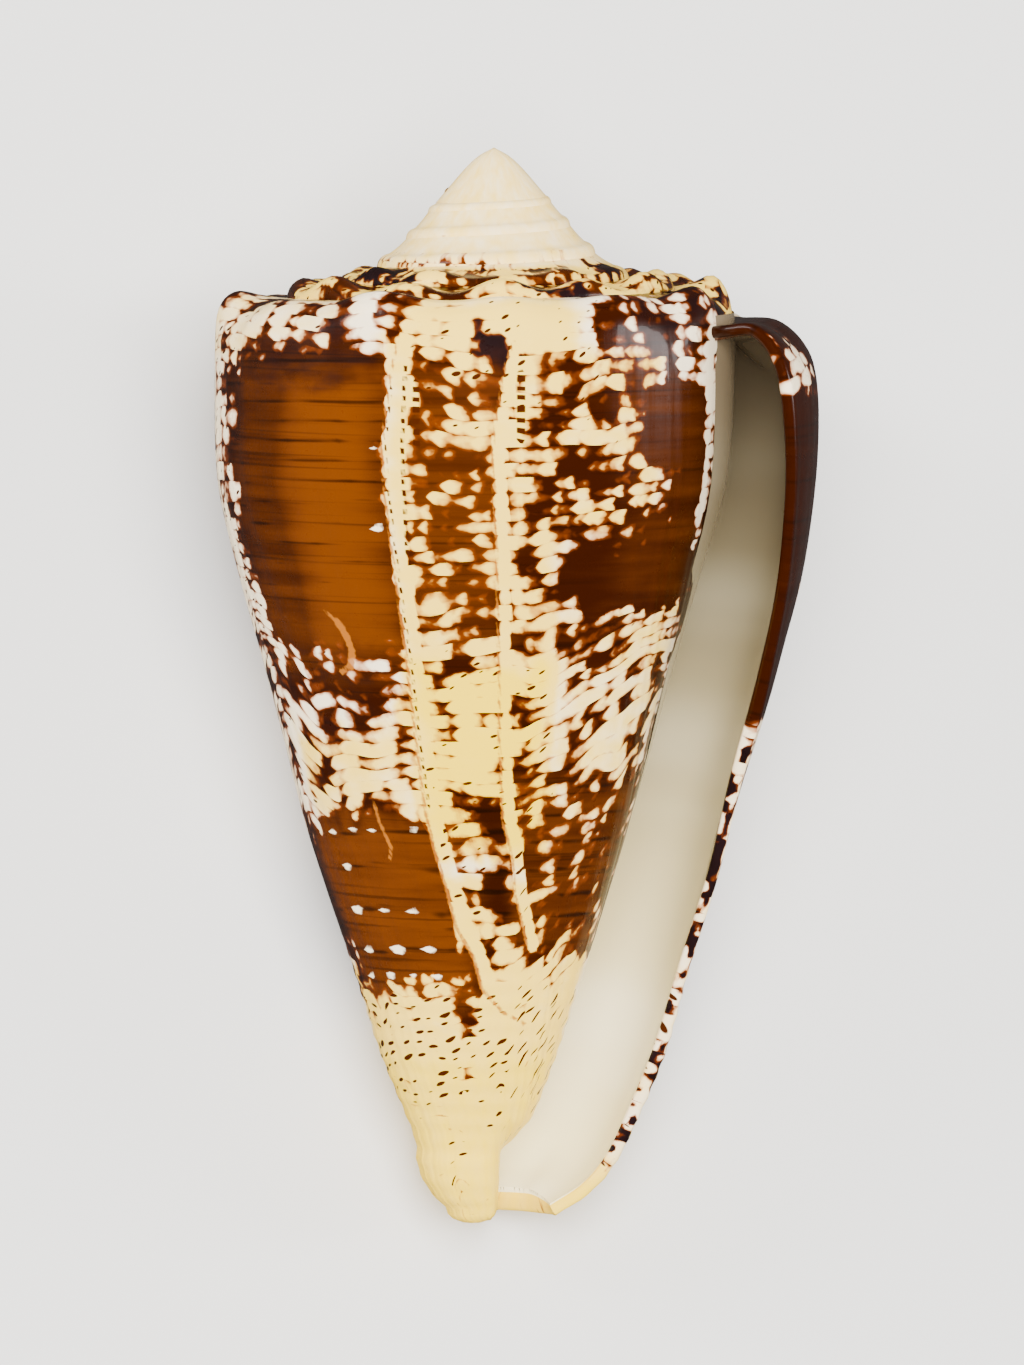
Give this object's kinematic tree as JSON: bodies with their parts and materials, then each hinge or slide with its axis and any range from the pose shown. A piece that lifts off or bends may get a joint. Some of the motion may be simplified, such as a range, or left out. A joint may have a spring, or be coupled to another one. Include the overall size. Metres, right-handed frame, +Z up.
{
  "type": "cone seashell",
  "caption": "Cone-shaped seashell with a low stepped spire, a knobbed shoulder and a long narrow aperture, lying on its back with the aperture upward.",
  "frame": {"origin": "on the surface the shell lies on, under the middle of its box", "axes": "+Z up; +Y along the lying shell towards the tip of its spire; +X towards the side of the aperture and outer lip"},
  "size_m": [0.0364, 0.063, 0.0345],
  "materials": {
    "shell": "glossy natural seashell: amber-brown blocks and pinkish-white flakes on cream outside, pale porcelain inside"
  },
  "bodies": {
    "root": {"shell": "shell"}
  },
  "joints": []
}
